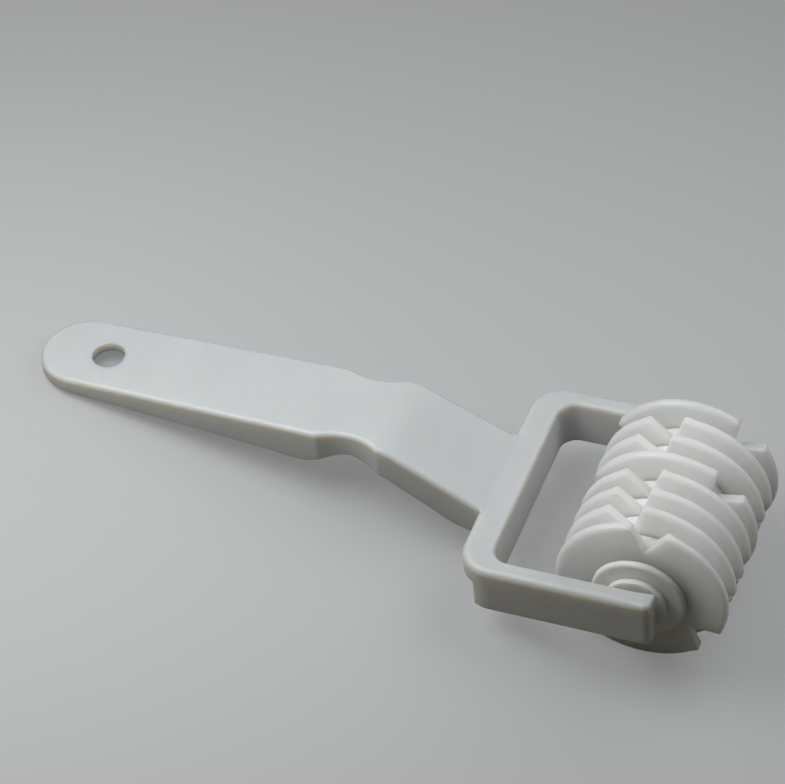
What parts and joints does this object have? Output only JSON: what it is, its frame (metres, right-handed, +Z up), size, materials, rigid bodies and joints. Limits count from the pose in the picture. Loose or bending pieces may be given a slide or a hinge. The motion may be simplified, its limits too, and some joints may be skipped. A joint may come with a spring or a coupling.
{
  "type": "lattice roller cutter",
  "caption": "Hand roller cutter: notched round blades turn in the fork of a cranked moulded handle and slit pastry into a lattice.",
  "frame": {"origin": "centre of the bounding box on the floor that the blades and the handle's tip rest on", "axes": "+X from the handle's tip to the roller, +Y along the roller's axle to its far end, +Z up"},
  "size_m": [0.1844, 0.065, 0.0426],
  "materials": {
    "white_moulding": "satin white polypropylene",
    "white_blade": "satin, slightly translucent white plastic",
    "white_core": "satin white plastic"
  },
  "bodies": {
    "frame": {"handle_fork": "white_moulding"},
    "roller": {"roller_core": "white_core", "blade_1": "white_blade", "blade_2": "white_blade", "blade_3": "white_blade", "blade_4": "white_blade", "blade_5": "white_blade", "blade_6": "white_blade", "blade_7": "white_blade", "blade_8": "white_blade", "spacer_1": "white_blade", "spacer_2": "white_blade", "spacer_3": "white_blade", "spacer_4": "white_blade", "spacer_5": "white_blade", "spacer_6": "white_blade", "spacer_7": "white_blade", "end_boss_near": "white_blade", "end_boss_far": "white_blade", "thrust_collar_near": "white_core", "thrust_collar_far": "white_core"}
  },
  "joints": [
    {"name": "roller_turn", "type": "hinge", "parent": "frame", "child": "roller", "pos_m": [0.07089, 0, 0.0213], "axis": [0, 1, 0], "continuous": true}
  ]
}
